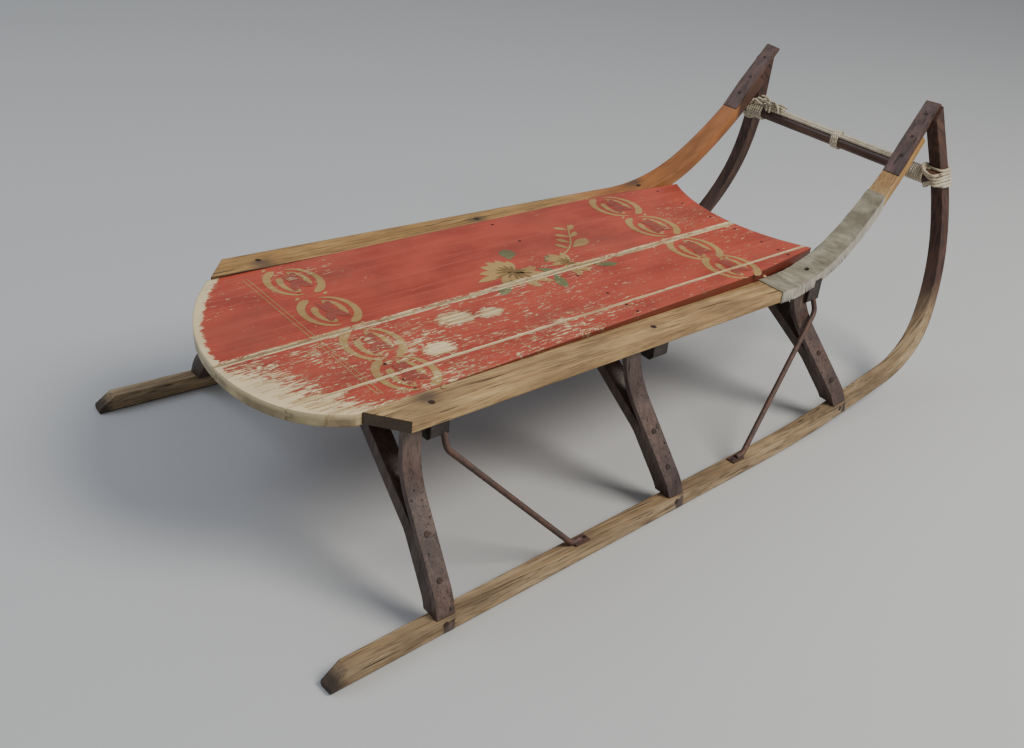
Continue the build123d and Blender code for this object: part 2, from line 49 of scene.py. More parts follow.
def hexColour(text):
    # sRGB hex to linear, with alpha
    parts = [int(text[i:i + 2], 16) / 255 for i in (1, 3, 5)]
    return tuple(p / 12.92 if p <= 0.04045 else ((p + 0.055) / 1.055) ** 2.4 for p in parts) + (1.0,)


def add(tree, kind, *inputs, **facts):
    # adds one node and gives its first output: the inputs in order are sockets, values or hex colours,
    # and a named fact is an input of that name or a setting
    node = tree.nodes.new("ShaderNode" + kind)
    for key, value in facts.items():
        if key not in node.inputs:
            setattr(node, key, value)
    live = [socket for socket in node.inputs if socket.enabled]
    given = list(zip(live, inputs)) + [(node.inputs[key], facts[key]) for key in facts if key in node.inputs]
    for socket, value in given:
        if isinstance(value, bpy.types.NodeSocket):
            tree.links.new(value, socket)
        else:
            socket.default_value = hexColour(value) if isinstance(value, str) else value
    return next(socket for socket in node.outputs if socket.enabled)


def deselect():
    if bpy.context.object and bpy.context.object.mode != "OBJECT":
        bpy.ops.object.mode_set(mode="OBJECT")
    bpy.ops.object.select_all(action="DESELECT")


def choose(piece):
    deselect()
    piece.select_set(True)
    bpy.context.view_layer.objects.active = piece


def applyModifiers(piece):
    choose(piece)
    for modifier in list(piece.modifiers):
        bpy.ops.object.modifier_apply(modifier=modifier.name)


def settle(piece, material, smoothAngle=35):
    # puts the place into the mesh, gives the finish and lets the piece ride on the sled
    choose(piece)
    bpy.ops.object.transform_apply(location=True, rotation=True, scale=True)
    if smoothAngle:
        bpy.ops.object.shade_smooth_by_angle(angle=math.radians(smoothAngle))
    piece.data.materials.clear()
    piece.data.materials.append(material)
    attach(piece, "root")


def midpoint(node):
    low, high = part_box(node)
    return Vector([(a + b) / 2 for a, b in zip(low, high)])


# camera, light and floor

view = {"eye": (-1.0508, -1.0795, 0.9305), "aim": (-0.1224, -0.0193, 0.0913), "roll": 0.0967, "lens": 39.77}


def makeCamera():
    eye, aim = Vector(view["eye"]), Vector(view["aim"])
    ahead = (aim - eye).normalized()
    right = ahead.cross(Vector((0, 0, 1))).normalized()
    down = ahead.cross(right)
    c, s = math.cos(view["roll"]), math.sin(view["roll"])
    across, fall = right * c - down * s, right * s + down * c
    data = bpy.data.cameras.new("camera")
    data.lens, data.sensor_width = view["lens"], 36.0
    camera = bpy.data.objects.new("camera", data)
    bpy.context.collection.objects.link(camera)
    turn = Matrix((across, -fall, -ahead)).transposed().to_4x4()
    camera.matrix_world = Matrix.Translation(eye) @ turn
    bpy.context.scene.camera = camera


lights = {
    "window": {"at": (1.1, -2.0, 2.7), "size": 1.7, "power": 104, "colour": "#FFF8EE"},
    "sky": {"at": (-1.6, 1.6, 2.8), "size": 2.6, "power": 34, "colour": "#EAF1FF"},
    "room": 0.36,
}


def makeLights():
    for name in ("window", "sky"):
        facts = lights[name]
        data = bpy.data.lights.new(name, "AREA")
        data.shape, data.size, data.energy = "DISK", facts["size"], facts["power"]
        data.color = hexColour(facts["colour"])[:3]
        lamp = bpy.data.objects.new(name, data)
        bpy.context.collection.objects.link(lamp)
        lamp.location = facts["at"]
        lamp.rotation_euler = (Vector((0, 0, 0.2)) - lamp.location).to_track_quat("-Z", "Y").to_euler()
    world = bpy.data.worlds.new("room")
    world.use_nodes = True
    world.node_tree.nodes["Background"].inputs["Color"].default_value = hexColour("#E9EDF2")
    world.node_tree.nodes["Background"].inputs["Strength"].default_value = lights["room"]
    bpy.context.scene.world = world


floorLook = {"colour": "#C3C5C6", "roughness": 0.62, "span": 14.0}


def makeFloor():
    material = bpy.data.materials.new("paintedConcreteFloor")
    material.use_nodes = True
    shader = material.node_tree.nodes["Principled BSDF"]
    shader.inputs["Base Color"].default_value = hexColour(floorLook["colour"])
    shader.inputs["Roughness"].default_value = floorLook["roughness"]
    deselect()
    bpy.ops.mesh.primitive_plane_add(size=floorLook["span"], location=(0, 0, 0))
    floor = bpy.context.object
    floor.name = "studioFloor"
    floor.data.materials.append(material)


makeCamera()
makeLights()
makeFloor()
print("camera, light and floor")


# woods

def startMaterial(name, roughness):
    material = bpy.data.materials.new(name)
    material.use_nodes = True
    tree = material.node_tree
    shader = tree.nodes["Principled BSDF"]
    shader.inputs["Roughness"].default_value = roughness
    shader.inputs["IOR"].default_value = 1.5
    return material, tree, shader


def bentGrain(tree, centre, radius):
    # grain that runs along X, then round a bend about the centre: length, width, depth in metres
    x, y, z = add(tree, "SeparateXYZ", add(tree, "TexCoord").node.outputs["Object"]).node.outputs
    ahead = add(tree, "Math", x, centre[0], operation="SUBTRACT")
    over = add(tree, "Math", ahead, 0.0, operation="MAXIMUM")
    behind = add(tree, "Math", ahead, 0.0, operation="MINIMUM")
    drop = add(tree, "Math", centre[1], z, operation="SUBTRACT")
    angle = add(tree, "Math", over, drop, operation="ARCTAN2")
    along = add(tree, "Math", angle, radius, behind, operation="MULTIPLY_ADD")
    overSquared = add(tree, "Math", over, over, operation="MULTIPLY")
    reach = add(tree, "Math", drop, drop, overSquared, operation="MULTIPLY_ADD")
    return add(tree, "CombineXYZ", along, y, add(tree, "Math", reach, operation="SQRT"))


def stretched(tree, vector, size, detail=4.0, roughness=0.55, offset=(0, 0, 0)):
    # noise whose cells are drawn out along the grain: size is a cell's length, width and depth in mm
    spread = add(tree, "Mapping", vector, Scale=[1000 / mm for mm in size], Location=offset)
    return add(tree, "TexNoise", spread, Scale=1.0, Detail=detail, Roughness=roughness)


def woodColour(tree, grain, look):
    # growth rings, fine pores and weathering cracks, all drawn out along the grain
    rings = stretched(tree, grain, (455, look["ringWidth"], look["ringWidth"]), 3.0)
    pores = stretched(tree, grain, (50, 1.923, 1.923), 3.0, 0.65)
    patches = stretched(tree, grain, (111, 38.5, 38.5), 3.0, 0.6, (3, 1, 2))
    cracks = stretched(tree, grain, (222, 4.167, 4.167), 2.0, 0.5, (7, 3, 1))
    ring = add(tree, "MapRange", rings, 0.36, 0.64)
    soiled = add(tree, "MapRange", patches, 0.42, 0.70, 0.0, look["grime"])
    pore = add(tree, "MapRange", pores, 0.50, 0.66, 0.0, 0.72)
    crack = add(tree, "MapRange", cracks, look["crackFrom"], look["crackFrom"] + 0.05)
    colour = add(tree, "Mix", ring, look["light"], look["dark"], data_type="RGBA")
    colour = add(tree, "Mix", soiled, colour, look["stain"], data_type="RGBA")
    colour = add(tree, "Mix", pore, colour, look["pore"], data_type="RGBA")
    colour = add(tree, "Mix", crack, colour, look["crack"], data_type="RGBA")
    deepCrack = add(tree, "Math", crack, 0.8, operation="MULTIPLY")
    poreRise = add(tree, "Math", pores, 0.35, operation="MULTIPLY")
    return colour, add(tree, "Math", poreRise, deepCrack, operation="SUBTRACT"), patches


def finishWood(tree, shader, colour, height, rough, roundness, depth=0.0006):
    # worn arrises: the normal is eased over the edges, then the grain is raised on it
    eased = add(tree, "Bevel", Radius=roundness, samples=6)
    bump = add(tree, "Bump", Strength=0.7, Distance=depth, Height=height, Normal=eased)
    tree.links.new(colour, shader.inputs["Base Color"])
    tree.links.new(bump, shader.inputs["Normal"])
    tree.links.new(rough, shader.inputs["Roughness"])


def wood(name, look, grainMaker):
    material, tree, shader = startMaterial(name, look["roughness"])
    colour, height, patches = woodColour(tree, grainMaker(tree), look)
    rough = add(tree, "MapRange", patches, 0.3, 0.7, look["roughness"] - 0.1, look["roughness"] + 0.12)
    finishWood(tree, shader, colour, height, rough, look["arris"])
    return material


# bent ash, open pored, left bare and greyed by weather, with the old dark stain left on the bows
runnerLook = {"light": "#B8A07C", "dark": "#937A57", "stain": "#665443", "pore": "#4E3E2E", "crack": "#35291F",
              "ringWidth": 6.67, "grime": 0.85, "crackFrom": 0.655, "roughness": 0.72, "arris": 0.0022,
              "bowDark": "#37241F", "bowLight": "#553A2F", "bowFrom": 0.05, "bowTo": 0.12, "farBowDrop": 0.07,
              "heelDark": "#2F241F", "heelX": (-0.586, -0.600), "bend": (0.418, 0.215), "bendRadius": 0.19}


def runnerWood(name, look):
    material, tree, shader = startMaterial(name, look["roughness"])
    grain = bentGrain(tree, look["bend"], look["bendRadius"])
    colour, height, patches = woodColour(tree, grain, look)
    x, y, z = add(tree, "SeparateXYZ", add(tree, "TexCoord").node.outputs["Object"]).node.outputs

    # the stain stops along a ragged line on the near bow, and reaches lower on the far one
    streak = add(tree, "MapRange", stretched(tree, grain, (125, 6.67, 6.67), 3.0), 0.4, 0.62)
    bow = add(tree, "Mix", streak, look["bowDark"], look["bowLight"], data_type="RGBA")
    ragged = add(tree, "Math", stretched(tree, grain, (71.4, 8.33, 8.33), 3.0), 0.10, operation="MULTIPLY")
    level = add(tree, "Math", z, ragged, operation="SUBTRACT")
    level = add(tree, "Math", level, add(tree, "MapRange", y, -0.05, 0.05, 0.0, look["farBowDrop"]))
    up = add(tree, "MapRange", level, look["bowFrom"], look["bowTo"])
    ahead = add(tree, "MapRange", x, 0.36, 0.42)
    stained = add(tree, "Math", up, ahead, operation="MULTIPLY")
    colour = add(tree, "Mix", stained, colour, bow, data_type="RGBA")
    heel = add(tree, "MapRange", x, *look["heelX"], 0.0, 0.85)
    colour = add(tree, "Mix", heel, colour, look["heelDark"], data_type="RGBA")
    rough = add(tree, "MapRange", patches, 0.3, 0.7, 0.58, 0.82)
    finishWood(tree, shader, colour, height, rough, look["arris"])
    return material


# straight rails of the same ash, golden where hands and boots have kept them rubbed
# the sawn-end and inner-face colours are painted shade, for the rear-facing end and the far rail's inner face in
# shadow
railLook = {"light": "#C3A473", "dark": "#A28155", "stain": "#786044", "pore": "#5A4631", "crack": "#3A2C20",
            "ringWidth": 7.69, "grime": 0.70, "crackFrom": 0.645, "roughness": 0.62, "arris": 0.0025,
            "warm": "#C09050", "warmDark": "#94683A", "warmFrom": 0.44, "tipFrom": 0.548, "tip": "#3E2C26",
            "sawnEndShade": "#3A2E26", "inner": "#3E2C20", "innerShare": 0.0, "blot": "#4A3C34",
            "screws": (-0.404, -0.037, 0.2997), "screwY": -0.196, "bend": (0.2417, 0.495), "bendRadius": 0.28}
farRailLook = dict(railLook, light="#BD9459", dark="#9B7641", stain="#775630", roughness=0.5, warm="#B06C36",
                   warmDark="#7E4A26", warmFrom=0.14, tipFrom=0.487, innerShare=0.8, screwY=0.196)


def railWood(name, look):
    # the rails turn warmer where their varnish is left and dark under the splice; the rear-facing sawn end and the
    # far rail's inner face get painted shade
    material, tree, shader = startMaterial(name, look["roughness"])
    colour, height, patches = woodColour(tree, bentGrain(tree, look["bend"], look["bendRadius"]), look)
    place = add(tree, "TexCoord").node.outputs["Object"]
    x = add(tree, "SeparateXYZ", place)
    facing = add(tree, "SeparateXYZ", add(tree, "NewGeometry").node.outputs["True Normal"]).node.outputs

    varnish = add(tree, "MapRange", patches, 0.35, 0.65)
    warm = add(tree, "Mix", varnish, look["warm"], look["warmDark"], data_type="RGBA")
    front = add(tree, "MapRange", x, look["warmFrom"], look["warmFrom"] + 0.10, 0.0, 0.85)
    colour = add(tree, "Mix", front, colour, warm, data_type="RGBA")
    # painted shade: on the far rail the inner face, turned to -Y, is darkened as the shadow in the gap beside the
    # deck, fading out towards the front
    inner = add(tree, "MapRange", facing["Y"], -0.5, -0.9, 0.0, look["innerShare"])
    inner = add(tree, "Math", inner, add(tree, "MapRange", x, 0.30, 0.22), operation="MULTIPLY")
    colour = add(tree, "Mix", inner, colour, look["inner"], data_type="RGBA")
    # painted shade: faces turned to -X at the rear end are darkened as if in shadow
    sawnEndShade = add(tree, "MapRange", facing["X"], -0.45, -0.75, 0.0, 0.9)
    sawnEndShade = add(tree, "Math", sawnEndShade, add(tree, "MapRange", x, -0.40, -0.43), operation="MULTIPLY")
    colour = add(tree, "Mix", sawnEndShade, colour, look["sawnEndShade"], data_type="RGBA")
    tip = add(tree, "MapRange", x, look["tipFrom"], look["tipFrom"] + 0.008, 0.0, 0.9)
    colour = add(tree, "Mix", tip, colour, look["tip"], data_type="RGBA")

    # iron has bled a dark blot into the wood round each screw, longer along the grain
    squeezed = add(tree, "Mapping", place, Scale=(0.7, 1.0, 0.0))
    for screwX in look["screws"]:
        gap = add(tree, "VectorMath", squeezed, (screwX * 0.7, look["screwY"], 0.0), operation="DISTANCE")
        blot = add(tree, "MapRange", gap, 0.017, 0.005, 0.0, 0.75)
        blot = add(tree, "Math", blot, add(tree, "MapRange", patches, 0.30, 0.52, 0.45, 1.0), operation="MULTIPLY")
        colour = add(tree, "Mix", blot, colour, look["blot"], data_type="RGBA")
    rough = add(tree, "MapRange", patches, 0.3, 0.7, look["roughness"] - 0.1, look["roughness"] + 0.12)
    finishWood(tree, shader, colour, height, rough, look["arris"])
    return material


# oak and ash stained nearly black under old varnish
darkLook = {"light": "#5E4A40", "dark": "#463630", "stain": "#2A1F1B", "pore": "#1D1512", "crack": "#120C0A",
            "ringWidth": 8.33, "grime": 0.7, "crackFrom": 0.66, "roughness": 0.5, "arris": 0.0018}
strutLook = dict(darkLook, light="#6C5850", dark="#55433B", stain="#34272A", roughness=0.42)
benchLook = dict(darkLook, light="#3A2F2A", dark="#2A211D", stain="#181210")
spliceLook = dict(darkLook, light="#6A4A3C", dark="#4C342A", stain="#33221B", roughness=0.42)


def uprightGrain(tree):
    place = add(tree, "TexCoord").node.outputs["Object"]
    return add(tree, "Mapping", place, Rotation=(0, math.radians(90), 0))


def crossGrain(tree):
    place = add(tree, "TexCoord").node.outputs["Object"]
    return add(tree, "Mapping", place, Rotation=(0, 0, math.radians(90)))


def railGrain(tree):
    return bentGrain(tree, railLook["bend"], railLook["bendRadius"])


bareRunner = runnerWood("weatheredAsh", runnerLook)
nearRail = railWood("rubbedAsh", railLook)
farRail = railWood("varnishedAsh", farRailLook)
standingWood = wood("stainedOakUpright", strutLook, uprightGrain)
archWood = wood("stainedOakArch", darkLook, uprightGrain)
crossWood = wood("stainedOakCross", benchLook, crossGrain)
stickWood = wood("stainedAshStick", spliceLook, crossGrain)
bowWood = wood("stainedAshBow", spliceLook, railGrain)
print("woods")


# painted deck

# pine boards under a pale ground coat and brick-red oil paint, scuffed through along the grain
deckLook = {"red": "#B34936", "redDeep": "#993A2B", "redFaded": "#C45C47", "ground": "#E3CFA2",
            "bare": "#B99C6C", "edge": "#5E2A20", "grime": "#85775C", "dirt": "#6B4A38",
            "jointLight": "#D8C9A4", "jointDark": "#A99878", "rim": 0.010, "edgeTop": 0.2392, "arris": 0.0035,
            "openJoint": (-0.0176, 0.0034), "rearMiddle": 0.02, "rearCurve": -2.3, "rearEdge": 0.580}
# how much each kind of wear adds to the noise, and the level from which the paint is gone
wearLook = {"nearHalf": 0.034, "nearRear": 0.052, "rim": 0.20, "broad": 0.075, "patch": 0.24,
            "streakFrom": 0.655, "scuffFrom": 0.665, "scuffShare": 0.75}
# each joint: its middle, how far its chipped edges reach, and how worn they are
chippedJoints = ((-0.0175, 0.0062, 0.16), (-0.1366, 0.0024, 0.20))
# patches rubbed down to the ground coat: middle and reach
barePatches = (((-0.262, -0.058), 0.036), ((-0.215, -0.068), 0.024), ((-0.325, -0.113), 0.028))


def fromRear(tree, x, y):
    # how far a place is in from the deck's rounded rear edge
    sideways = add(tree, "Math", y, deckLook["rearMiddle"])
    squared = add(tree, "Math", sideways, sideways, operation="MULTIPLY")
    edge = add(tree, "Math", squared, deckLook["rearCurve"], deckLook["rearEdge"], operation="MULTIPLY_ADD")
    return add(tree, "Math", x, edge)


def paintWear(tree, place, x, y, inset, scuffs):
    # where the paint is gone: the near half, the rear edge, the joints and the middle of the seat most
    streaks = stretched(tree, place, (19.23, 3.03, 16.67), 8.0, 0.76, (1, 5, 0))
    broad = stretched(tree, place, (238, 133.3, 250), 3.0, 0.5, (2.3, 0.4, 0))
    nearHalf = add(tree, "MapRange", y, -0.010, -0.03)
    rearPart = add(tree, "MapRange", x, 0.08, -0.20)
    nearRear = add(tree, "Math", rearPart, nearHalf, operation="MULTIPLY")
    rimBand = add(tree, "MapRange", inset, 0.075, 0.012)
    rimNear = add(tree, "Math", rimBand, add(tree, "MapRange", y, -0.02, -0.07, 0.08, 1.0), operation="MULTIPLY")

    look = wearLook
    load = add(tree, "Math", nearHalf, look["nearHalf"], operation="MULTIPLY")
    load = add(tree, "Math", nearRear, look["nearRear"], load, operation="MULTIPLY_ADD")
    load = add(tree, "Math", rimNear, look["rim"], load, operation="MULTIPLY_ADD")
    load = add(tree, "Math", load, add(tree, "MapRange", broad, 0.48, 0.68, 0.0, look["broad"]))
    for line, reach, amount in chippedJoints:
        near = add(tree, "Math", y, line, reach, operation="COMPARE")
        load = add(tree, "Math", near, amount, load, operation="MULTIPLY_ADD")
    squeezed = add(tree, "Mapping", place, Scale=(1.0, 1.6, 0.0))
    for (patchX, patchY), reach in barePatches:
        gap = add(tree, "VectorMath", squeezed, (patchX, patchY * 1.6, 0.0), operation="DISTANCE")
        load = add(tree, "Math", load, add(tree, "MapRange", gap, reach, 0.004, 0.0, look["patch"]))

    streaked = add(tree, "Math", streaks, load)
    streaked = add(tree, "MapRange", streaked, look["streakFrom"], look["streakFrom"] + 0.03)
    scuffed = add(tree, "Math", load, look["scuffShare"], scuffs, operation="MULTIPLY_ADD")
    scuffed = add(tree, "MapRange", scuffed, look["scuffFrom"], look["scuffFrom"] + 0.025)
    return add(tree, "Math", streaked, scuffed, operation="MAXIMUM")


def paintedBoard(name, paint, paintDeep, paintFaded):
    material, tree, shader = startMaterial(name, 0.42)
    look, place = deckLook, add(tree, "TexCoord").node.outputs["Object"]
    x, y, z = add(tree, "SeparateXYZ", place).node.outputs
    mottle = stretched(tree, place, (83.3, 50, 50), 5.0)
    brush = stretched(tree, place, (200, 3.846, 16.67), 3.0)
    deep = add(tree, "MapRange", mottle, 0.38, 0.66)
    colour = add(tree, "Mix", deep, paint, paintDeep, data_type="RGBA")
    faded = add(tree, "MapRange", brush, 0.50, 0.74, 0.0, 0.55)
    colour = add(tree, "Mix", faded, colour, paintFaded, data_type="RGBA")

    # the ground coat and the bare wood show where the paint is worn
    scuffs = stretched(tree, place, (10.53, 5.263, 16.67), 7.0, 0.76, (4, 2, 0))
    inset = fromRear(tree, x, y)
    worn = paintWear(tree, place, x, y, inset, scuffs)
    bareStreaks = stretched(tree, place, (111.1, 4.762, 16.67), 4.0, 0.6, (9, 9, 0))
    bare = add(tree, "MapRange", bareStreaks, 0.48, 0.62)
    under = add(tree, "Mix", bare, look["ground"], look["bare"], data_type="RGBA")
    colour = add(tree, "Mix", worn, colour, under, data_type="RGBA")

    # the rounded rear rim is down to the pale ground along a chipped line, and grimy lower down
    chipped = add(tree, "Math", scuffs, -0.034, 0.017, operation="MULTIPLY_ADD")
    rim = add(tree, "MapRange", add(tree, "Math", inset, chipped), look["rim"] + 0.001, look["rim"] - 0.001)
    colour = add(tree, "Mix", rim, colour, look["ground"], data_type="RGBA")
    low = add(tree, "MapRange", z, look["edgeTop"] - 0.001, look["edgeTop"] - 0.007)
    low = add(tree, "Math", low, add(tree, "MapRange", inset, 0.03, 0.02), operation="MULTIPLY")
    low = add(tree, "Math", low, add(tree, "MapRange", mottle, 0.3, 0.62, 0.35, 0.95), operation="MULTIPLY")

    # the other edges are dark, and the open joint shows a pale tongue
    side = add(tree, "MapRange", z, look["edgeTop"], look["edgeTop"] - 0.0006)
    dark = add(tree, "Math", side, add(tree, "MapRange", inset, 0.02, 0.05, 0.0, 0.85), operation="MULTIPLY")
    colour = add(tree, "Mix", dark, colour, look["edge"], data_type="RGBA")
    colour = add(tree, "Mix", low, colour, look["grime"], data_type="RGBA")
    inJoint = add(tree, "Math", y, *look["openJoint"], operation="COMPARE")
    inJoint = add(tree, "Math", inJoint, side, operation="MULTIPLY")
    tongue = add(tree, "Mix", add(tree, "MapRange", bareStreaks, 0.42, 0.6), look["jointLight"], look["jointDark"],
                 data_type="RGBA")
    colour = add(tree, "Mix", inJoint, colour, tongue, data_type="RGBA")
    clouds = stretched(tree, place, (142.9, 90.9, 125), 6.0, 0.62, (8, 8, 8))
    dirt = add(tree, "MapRange", clouds, 0.50, 0.78, 0.0, 0.42)
    colour = add(tree, "Mix", dirt, colour, look["dirt"], data_type="RGBA")
    matt = add(tree, "Math", mottle, 0.3, worn, operation="MULTIPLY_ADD")
    height = add(tree, "Math", 1.0, worn, operation="SUBTRACT")
    rough = add(tree, "MapRange", matt, 0.0, 1.0, 0.36, 0.72)
    finishWood(tree, shader, colour, height, rough, look["arris"], 0.00035)
    return material


redPaint = paintedBoard("brickRedOilPaint", deckLook["red"], deckLook["redDeep"], deckLook["redFaded"])
goldPaint = paintedBoard("ochreStencilPaint", "#B08F58", "#9A7B49", "#BF9F6C")
greenPaint = paintedBoard("greenStencilPaint", "#6F7350", "#5F5E3A", "#8A875A")
maroonPaint = paintedBoard("maroonStencilPaint", "#974A3A", "#853D31", "#A9574A")
shadePaint = paintedBoard("umberStencilPaint", "#7C6338", "#6A5330", "#8E7548")
print("deck paint")


# iron, steel, cords and cloth

# forged iron rod with a thin brown rust skin; sheet shoes rubbed brighter below
ironLook = {"skin": "#564742", "rust": "#6B4E44", "dark": "#312724", "roughness": 0.66, "metallic": 0.35}


def rustyIron(name, look):
    material, tree, shader = startMaterial(name, look["roughness"])
    place = add(tree, "TexCoord").node.outputs["Object"]
    bloom = add(tree, "MapRange", stretched(tree, place, (11.11, 11.11, 11.11), 5.0, 0.62), 0.4, 0.62)
    pits = stretched(tree, place, (2.381, 2.381, 2.381), 3.0, 0.6)
    colour = add(tree, "Mix", bloom, look["skin"], look["rust"], data_type="RGBA")
    pitted = add(tree, "MapRange", pits, 0.5, 0.68, 0.0, 0.7)
    colour = add(tree, "Mix", pitted, colour, look["dark"], data_type="RGBA")
    tree.links.new(colour, shader.inputs["Base Color"])
    tree.links.new(add(tree, "Bump", Strength=0.6, Distance=0.0004, Height=pits), shader.inputs["Normal"])
    shader.inputs["Metallic"].default_value = look["metallic"]
    return material


rodIron = rustyIron("rustedWroughtIron", ironLook)
shoeIron = rustyIron("wornSheetIron", dict(ironLook, skin="#4C4440", rust="#66493B", roughness=0.5, metallic=0.6))
headSteel = rustyIron("darkenedSteelHeads", dict(ironLook, skin="#37302D", rust="#4C3A32", roughness=0.5,
                                                metallic=0.6))

# laid cotton cord, three strands, gone the colour of straw, with a painted shade colour for the grooves between the
# strands
cordLook = {"light": "#E2D8C0", "dark": "#B8AA8C", "grooveShade": "#7A6C54", "strands": 3, "pitch": 0.011}


def twistedCord(name, look, length):
    # UV runs along the cord and round it, so the strands wind as they do in the real thing
    material, tree, shader = startMaterial(name, 0.85)
    along, around, _ = add(tree, "SeparateXYZ", add(tree, "TexCoord").node.outputs["UV"]).node.outputs
    turns = add(tree, "Math", along, look["strands"] * length / look["pitch"], operation="MULTIPLY")
    phase = add(tree, "Math", around, float(look["strands"]), turns, operation="MULTIPLY_ADD")
    lay = add(tree, "Math", add(tree, "Math", phase, 2 * math.pi, operation="MULTIPLY"), operation="SINE")
    place = add(tree, "TexCoord").node.outputs["Object"]
    soil = add(tree, "MapRange", stretched(tree, place, (16.67, 16.67, 16.67)), 0.35, 0.7)
    colour = add(tree, "Mix", soil, look["light"], look["dark"], data_type="RGBA")
    # painted shade: the grooves between the strands are darkened where shade falls between them
    grooveShade = add(tree, "MapRange", lay, -0.2, -0.95, 0.0, 0.75)
    colour = add(tree, "Mix", grooveShade, colour, look["grooveShade"], data_type="RGBA")
    fuzz = add(tree, "Math", stretched(tree, place, (1.111, 1.111, 1.111), 3.0, 0.7), 0.3, operation="MULTIPLY")
    ridge = add(tree, "MapRange", lay, -0.9, 0.7, 0.0, 0.8)
    height = add(tree, "Math", ridge, fuzz, use_clamp=True)
    tree.links.new(colour, shader.inputs["Base Color"])
    tree.links.new(add(tree, "Bump", Strength=0.9, Distance=0.0009, Height=height), shader.inputs["Normal"])
    shader.inputs["Sheen Weight"].default_value = 0.25
    return material


# woven cotton tape, grey with handling; its weave is drawn at 1.1 mm, not the real 0.5 mm, so that it shows
# the side colour is a painted highlight for the faces turned to -Y
tapeLook = {"light": "#A09A86", "dark": "#77715E", "side": "#B9B4A8", "soil": "#554F3E", "thread": 0.0011}


def wovenCloth(name, look):
    material, tree, shader = startMaterial(name, 0.82)
    place = add(tree, "TexCoord").node.outputs["Object"]
    threads = [add(tree, "TexWave", place, Scale=1 / look["thread"] / (2 * math.pi), Distortion=0.6, Detail=1.0,
                   wave_type="BANDS", bands_direction=way).node.outputs["Fac"] for way in "XY"]
    weave = add(tree, "Math", *threads, operation="MULTIPLY")
    folds = stretched(tree, place, (16.67, 45.45, 25), 4.0, 0.6)
    handled = stretched(tree, place, (38.46, 29.41, 38.46), 5.0, 0.62, (5, 5, 5))
    soil = add(tree, "MapRange", handled, 0.50, 0.72, 0.0, 0.65)
    creased = add(tree, "MapRange", folds, 0.38, 0.64)
    colour = add(tree, "Mix", creased, look["light"], look["dark"], data_type="RGBA")
    colour = add(tree, "Mix", soil, colour, look["soil"], data_type="RGBA")
    facing = add(tree, "SeparateXYZ", add(tree, "NewGeometry").node.outputs["True Normal"]).node.outputs
    # painted highlight: faces turned to -Y, the lit side, are lightened as a sheen
    litOuterFace = add(tree, "MapRange", facing["Y"], -0.3, -0.8, 0.0, 0.7)
    colour = add(tree, "Mix", litOuterFace, colour, look["side"], data_type="RGBA")
    # painted shade: the gaps in the weave are darkened with the soil colour
    weaveGapShade = add(tree, "MapRange", weave, 0.5, 0.1, 0.0, 0.25)
    colour = add(tree, "Mix", weaveGapShade, colour, look["soil"], data_type="RGBA")
    rise = add(tree, "Math", folds, 0.75, operation="MULTIPLY")
    height = add(tree, "Math", weave, 0.25, rise, operation="MULTIPLY_ADD")
    tree.links.new(colour, shader.inputs["Base Color"])
    tree.links.new(add(tree, "Bump", Strength=0.6, Distance=0.0012, Height=height), shader.inputs["Normal"])
    shader.inputs["Sheen Weight"].default_value = 0.15
    return material


tapeCloth = wovenCloth("wovenCottonTape", tapeLook)
print("iron, cord and cloth")


# finishes for the pieces that keep their shape

finishes = {
    "runner_shoe": shoeIron, "runner": bareRunner, "rail_screws": headSteel, "rail_left": farRail,
    "rail_right": nearRail, "bow_splice": bowWood, "deck_board": redPaint, "deck_nails": headSteel,
    "splice_nails": headSteel, "brace_nails": headSteel, "leg_rivets": headSteel, "bench": crossWood,
    "arch": archWood, "strut": standingWood, "brace": rodIron, "spreader_stick": stickWood,
}
for name, node in cadNodes.items():
    fitting = [key for key in finishes if name.startswith(key)]
    if fitting:
        node.data.materials.clear()
        node.data.materials.append(finishes[max(fitting, key=len)])
print("finishes on the frame")


# painted ornament on the deck

# plain scroll wreaths, a daisy with leaves and two pinstripes, laid as a paint film on the boards
ornament = {"lift": 0.00012, "joint": (-0.0205, -0.0145), "outerJoint": (-0.1378, -0.1355),
            "rearRow": -0.391, "frontRow": 0.187, "wreathY": (0.130, 0.036, -0.063, -0.141),
            "stripes": (-0.442, -0.4485)}


def stroke(film, points, widths):
    # one brush stroke: a flat ribbon along the points, each a hair above the stroke before it
    film["strokes"] += 1
    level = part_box("deck_board_middle")[1][2] + film["lift"] + 0.000012 * (film["strokes"] % 7)
    start = len(film["points"])
    for i, (x, y) in enumerate(points):
        back, ahead = points[max(i - 1, 0)], points[min(i + 1, len(points) - 1)]
        along = Vector((ahead[0] - back[0], ahead[1] - back[1])).normalized()
        for side in (-0.5, 0.5):
            film["points"].append((x - along.y * widths[i] * side, y + along.x * widths[i] * side, level))
    for i in range(len(points) - 1):
        corner = start + 2 * i
        film["faces"].append((corner, corner + 2, corner + 3, corner + 1))


def comma(film, centre, reach, angles, width, steps=20):
    # a scroll: a round head that thins away to a tail along an oval
    points, widths = [], []
    for i in range(steps + 1):
        share = i / steps
        angle = math.radians(angles[0] + (angles[1] - angles[0]) * share)
        points.append((centre[0] + reach[0] * math.cos(angle), centre[1] + reach[1] * math.sin(angle)))
        widths.append(width * min(1.0, (share * 9) ** 0.5) * (1 - share) ** 0.62 + 0.0004)
    stroke(film, points, widths)


def petal(film, base, angle, length, width, bend=0.0):
    points, widths = [], []
    for i in range(11):
        share = i / 10
        turn = math.radians(angle + bend * share)
        points.append((base[0] + length * share * math.cos(turn), base[1] + length * share * math.sin(turn)))
        widths.append(width * (0.05 + math.sin(math.pi * share ** 1.35) ** 0.8))
    stroke(film, points, widths)


